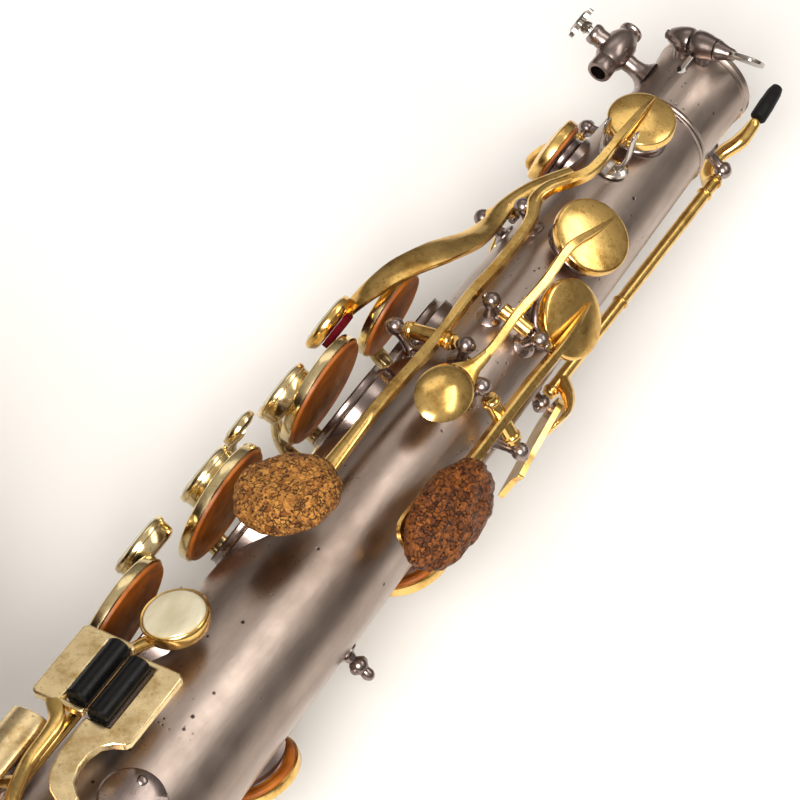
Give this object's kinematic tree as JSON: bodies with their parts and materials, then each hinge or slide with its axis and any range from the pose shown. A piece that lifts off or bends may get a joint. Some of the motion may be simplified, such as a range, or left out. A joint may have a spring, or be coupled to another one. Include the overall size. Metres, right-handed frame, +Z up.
{
  "type": "tenor saxophone body",
  "caption": "Conical woodwind body with bow, flared bell, pad cups on hinge rods, palm keys with cork risers, side keys and table keys, ready for a neck.",
  "frame": {"origin": "middle of the bounding box on the table the instrument lies on", "axes": "+Y along the instrument towards the neck end, +Z up from the table (the player's left side), -X towards the bell"},
  "size_m": [0.2514, 0.7972, 0.1571],
  "materials": {
    "silver_plate": "satin silver plate over brass, tarnished and finely pitted",
    "gold_lacquer": "polished gold plate with patina",
    "pale_gold": "pale worn gold plate, glossy",
    "pearl": "mother of pearl, glossy",
    "cork": "natural cork, granular",
    "roller": "black, semi gloss",
    "rubber_tip": "black rubber tube",
    "pad_leather": "tan orange leather pad"
  },
  "bodies": {
    "instrument": {"body_tube": "silver_plate", "neck_receiver": "silver_plate", "lyre_holder": "silver_plate", "bow": "silver_plate", "bow_ferrule_body": "silver_plate", "bow_ferrule_bell": "silver_plate", "bell": "silver_plate", "bell_brace": "silver_plate", "thumb_rest": "rubber_tip", "thumb_hook": "silver_plate", "strap_ring": "silver_plate", "palm_f_guide": "silver_plate", "low_key_guard": "gold_lacquer", "bell_key_guard": "gold_lacquer", "side_key_guide": "gold_lacquer"},
    "clamp_screw": {"clamp_screw": "silver_plate"},
    "lyre_screw": {"lyre_screw": "silver_plate"},
    "octave": {"octave_key": "gold_lacquer", "octave_tip": "rubber_tip"},
    "octave_pip": {"octave_pip_key": "gold_lacquer"},
    "palm_f": {"palm_f_key": "gold_lacquer", "palm_f_cork": "cork"},
    "palm_eb": {"palm_eb_key": "gold_lacquer"},
    "palm_d": {"palm_d_key": "gold_lacquer", "palm_d_cork": "cork"},
    "front_f": {"front_f_key": "gold_lacquer", "front_f_pearl": "pearl"},
    "upper_a": {"a_key": "pale_gold", "a_pearl": "pearl"},
    "upper_c": {"c_key": "pale_gold"},
    "upper_b": {"b_key": "pale_gold", "b_pearl": "pearl"},
    "bis": {"bis_key": "pale_gold", "bis_pearl": "pearl"},
    "upper_g": {"g_key": "pale_gold", "g_pearl": "pearl"},
    "g_sharp": {"g_sharp_key": "gold_lacquer", "g_sharp_pearl": "pearl"},
    "low_b": {"low_b_key": "gold_lacquer"},
    "low_bb": {"low_bb_key": "gold_lacquer"},
    "low_c_sharp": {"low_c_sharp_key": "gold_lacquer"},
    "low_b_roller": {"low_b_roller": "roller"},
    "low_c_sharp_roller": {"low_c_sharp_roller": "roller"},
    "lower_f": {"f_key": "pale_gold", "f_pearl": "pearl"},
    "f_sharp": {"f_sharp_key": "pale_gold"},
    "lower_e": {"e_key": "pale_gold", "e_pearl": "pearl"},
    "lower_d": {"d_key": "pale_gold", "d_pearl": "pearl"},
    "side_e_lever": {"side_e_lever": "gold_lacquer"},
    "side_e": {"side_e_key": "gold_lacquer"},
    "side_c_lever": {"side_c_lever": "gold_lacquer"},
    "side_c": {"side_c_key": "gold_lacquer"},
    "side_bb_lever": {"side_bb_lever": "gold_lacquer"},
    "side_bb": {"side_bb_key": "gold_lacquer"},
    "low_eb": {"low_eb_key": "gold_lacquer"},
    "low_c": {"low_c_key": "gold_lacquer"}
  },
  "joints": [
    {"name": "clamp_screw_hinge", "type": "hinge", "parent": "instrument", "child": "clamp_screw", "pos_m": [0.05678, 0.3746, 0.06877], "axis": [0.9307, 0.003, 0.3658], "range_deg": [0, 360]},
    {"name": "lyre_screw_hinge", "type": "hinge", "parent": "instrument", "child": "lyre_screw", "pos_m": [0.04308, 0.36454, 0.06127], "axis": [-0.9862, 0.0006, 0.1658], "range_deg": [0, 360]},
    {"name": "octave_hinge", "type": "hinge", "parent": "instrument", "child": "octave", "pos_m": [0.09309, 0.35844, 0.04276], "axis": [0.0006, -1, 0.0068], "range_deg": [0, 12], "stiffness_Nm_per_rad": 0.024, "springref_deg": -28.65},
    {"name": "octave_pip_hinge", "type": "hinge", "parent": "instrument", "child": "octave_pip", "pos_m": [0.08654, 0.21337, 0.03279], "axis": [-0.9369, -0.0029, -0.3495], "range_deg": [0, 12], "stiffness_Nm_per_rad": 0.024, "springref_deg": -28.65},
    {"name": "palm_f_hinge", "type": "hinge", "parent": "instrument", "child": "palm_f", "pos_m": [0.05289, 0.22663, 0.07409], "axis": [0.8792, 0.0037, 0.4765], "range_deg": [0, 4.5], "stiffness_Nm_per_rad": 0.035415, "springref_deg": -28.65},
    {"name": "palm_eb_hinge", "type": "hinge", "parent": "instrument", "child": "palm_eb", "pos_m": [0.07215, 0.24668, 0.08034], "axis": [0.9831, -0.0007, -0.183], "range_deg": [0, 9], "stiffness_Nm_per_rad": 0.024, "springref_deg": -28.65},
    {"name": "palm_d_hinge", "type": "hinge", "parent": "instrument", "child": "palm_d", "pos_m": [0.08492, 0.21869, 0.08034], "axis": [0.7248, -0.0043, -0.6889], "range_deg": [0, 8], "stiffness_Nm_per_rad": 0.024, "springref_deg": -28.65},
    {"name": "front_f_hinge", "type": "hinge", "parent": "instrument", "child": "front_f", "pos_m": [0.04928, 0.28455, 0.06326], "axis": [0.538, 0.006, 0.843], "range_deg": [0, 2.5], "stiffness_Nm_per_rad": 0.024, "springref_deg": -28.65},
    {"name": "upper_a_hinge", "type": "hinge", "parent": "instrument", "child": "upper_a", "pos_m": [0.04999, 0.13536, 0.03562], "axis": [-0.0006, 1, -0.0068], "range_deg": [0, 13], "stiffness_Nm_per_rad": 0.026752, "springref_deg": -28.65},
    {"name": "upper_c_hinge", "type": "hinge", "parent": "instrument", "child": "upper_c", "pos_m": [0.04994, 0.22236, 0.03503], "axis": [-0.0006, 1, -0.0068], "range_deg": [0, 13], "stiffness_Nm_per_rad": 0.024, "springref_deg": -28.65},
    {"name": "upper_b_hinge", "type": "hinge", "parent": "instrument", "child": "upper_b", "pos_m": [0.04996, 0.18536, 0.03528], "axis": [-0.0006, 1, -0.0068], "range_deg": [0, 13], "stiffness_Nm_per_rad": 0.024, "springref_deg": -28.65},
    {"name": "bis_hinge", "type": "hinge", "parent": "instrument", "child": "bis", "pos_m": [0.04997, 0.17036, 0.03539], "axis": [-0.0006, 1, -0.0068], "range_deg": [0, 9], "stiffness_Nm_per_rad": 0.024, "springref_deg": -28.65},
    {"name": "upper_g_hinge", "type": "hinge", "parent": "instrument", "child": "upper_g", "pos_m": [0.05002, 0.08236, 0.03598], "axis": [-0.0006, 1, -0.0068], "range_deg": [0, 13], "stiffness_Nm_per_rad": 0.032635, "springref_deg": -28.65},
    {"name": "g_sharp_hinge", "type": "hinge", "parent": "instrument", "child": "g_sharp", "pos_m": [0.05074, 0.03267, 0.08082], "axis": [-0.0006, 1, -0.0068], "range_deg": [0, 8], "stiffness_Nm_per_rad": 0.024, "springref_deg": -28.65},
    {"name": "low_b_hinge", "type": "hinge", "parent": "instrument", "child": "low_b", "pos_m": [0.06628, 0.01776, 0.09251], "axis": [0.0006, -1, 0.0068], "range_deg": [0, 6.5], "stiffness_Nm_per_rad": 0.38584, "springref_deg": -28.65},
    {"name": "low_bb_hinge", "type": "hinge", "parent": "instrument", "child": "low_bb", "pos_m": [0.05653, 0.00671, 0.08703], "axis": [0.0006, -1, 0.0068], "range_deg": [0, 6.5], "stiffness_Nm_per_rad": 0.40219, "springref_deg": -28.65},
    {"name": "low_c_sharp_hinge", "type": "hinge", "parent": "instrument", "child": "low_c_sharp", "pos_m": [0.08161, 0.02777, 0.0926], "axis": [0.0006, -1, 0.0068], "range_deg": [0, 8], "stiffness_Nm_per_rad": 0.058898, "springref_deg": -28.65},
    {"name": "low_b_roller_hinge", "type": "hinge", "parent": "low_b", "child": "low_b_roller", "pos_m": [0.04982, 0.08122, 0.08824], "axis": [0.0006, -1, 0.0068], "continuous": true},
    {"name": "low_c_sharp_roller_hinge", "type": "hinge", "parent": "low_c_sharp", "child": "low_c_sharp_roller", "pos_m": [0.05779, 0.07874, 0.09123], "axis": [0.0006, -1, 0.0068], "continuous": true},
    {"name": "lower_f_hinge", "type": "hinge", "parent": "instrument", "child": "lower_f", "pos_m": [0.04415, -0.08167, 0.03181], "axis": [-0.0006, 1, -0.0068], "range_deg": [0, 13], "stiffness_Nm_per_rad": 0.034443, "springref_deg": -28.65},
    {"name": "f_sharp_hinge", "type": "hinge", "parent": "instrument", "child": "f_sharp", "pos_m": [0.04412, -0.02967, 0.03146], "axis": [-0.0006, 1, -0.0068], "range_deg": [0, 13], "stiffness_Nm_per_rad": 0.024, "springref_deg": -28.65},
    {"name": "lower_e_hinge", "type": "hinge", "parent": "instrument", "child": "lower_e", "pos_m": [0.04419, -0.14067, 0.03221], "axis": [-0.0006, 1, -0.0068], "range_deg": [0, 13], "stiffness_Nm_per_rad": 0.043569, "springref_deg": -28.65},
    {"name": "lower_d_hinge", "type": "hinge", "parent": "instrument", "child": "lower_d", "pos_m": [0.04422, -0.19467, 0.03258], "axis": [-0.0006, 1, -0.0068], "range_deg": [0, 13], "stiffness_Nm_per_rad": 0.052694, "springref_deg": -28.65},
    {"name": "side_e_lever_hinge", "type": "hinge", "parent": "instrument", "child": "side_e_lever", "pos_m": [0.05676, 0.29931, 0.02646], "axis": [0.0006, -1, 0.0068], "range_deg": [0, 9], "stiffness_Nm_per_rad": 0.024, "springref_deg": -28.65},
    {"name": "side_e_hinge", "type": "hinge", "parent": "instrument", "child": "side_e", "pos_m": [0.05168, 0.34242, 0.04375], "axis": [0.0006, -1, 0.0068], "range_deg": [0, 13.5], "stiffness_Nm_per_rad": 0.024, "springref_deg": -28.65},
    {"name": "side_c_lever_hinge", "type": "hinge", "parent": "instrument", "child": "side_c_lever", "pos_m": [0.06413, 0.16629, 0.02431], "axis": [0.0006, -1, 0.0068], "range_deg": [0, 9], "stiffness_Nm_per_rad": 0.024, "springref_deg": -28.65},
    {"name": "side_c_hinge", "type": "hinge", "parent": "instrument", "child": "side_c", "pos_m": [0.0721, 0.17332, 0.02708], "axis": [-0.0006, 1, -0.0068], "range_deg": [0, 13.5], "stiffness_Nm_per_rad": 0.024, "springref_deg": -28.65},
    {"name": "side_bb_lever_hinge", "type": "hinge", "parent": "instrument", "child": "side_bb_lever", "pos_m": [0.07198, 0.07729, 0.02371], "axis": [0.0006, -1, 0.0068], "range_deg": [0, 9], "stiffness_Nm_per_rad": 0.024, "springref_deg": -28.65},
    {"name": "side_bb_hinge", "type": "hinge", "parent": "instrument", "child": "side_bb", "pos_m": [0.07211, 0.0863, 0.02443], "axis": [-0.0006, 1, -0.0068], "range_deg": [0, 13.5], "stiffness_Nm_per_rad": 0.024, "springref_deg": -28.65},
    {"name": "low_eb_hinge", "type": "hinge", "parent": "instrument", "child": "low_eb", "pos_m": [0.05264, -0.26574, 0.02141], "axis": [-0.0006, 1, -0.0068], "range_deg": [0, 10], "stiffness_Nm_per_rad": 0.058562, "springref_deg": -28.65},
    {"name": "low_c_hinge", "type": "hinge", "parent": "instrument", "child": "low_c", "pos_m": [0.03977, -0.32873, 0.0235], "axis": [-0.0006, 1, -0.0068], "range_deg": [0, 11], "stiffness_Nm_per_rad": 0.08841, "springref_deg": -28.65}
  ],
  "couplings": [
    {"joint": "octave_pip_hinge", "follows": "octave_hinge", "ratio": 1},
    {"joint": "upper_c_hinge", "follows": "upper_a_hinge", "ratio": 1},
    {"joint": "f_sharp_hinge", "follows": "lower_f_hinge", "ratio": 1},
    {"joint": "side_e_hinge", "follows": "side_e_lever_hinge", "ratio": 1.5},
    {"joint": "side_c_hinge", "follows": "side_c_lever_hinge", "ratio": 1.5},
    {"joint": "side_bb_hinge", "follows": "side_bb_lever_hinge", "ratio": 1.5}
  ]
}
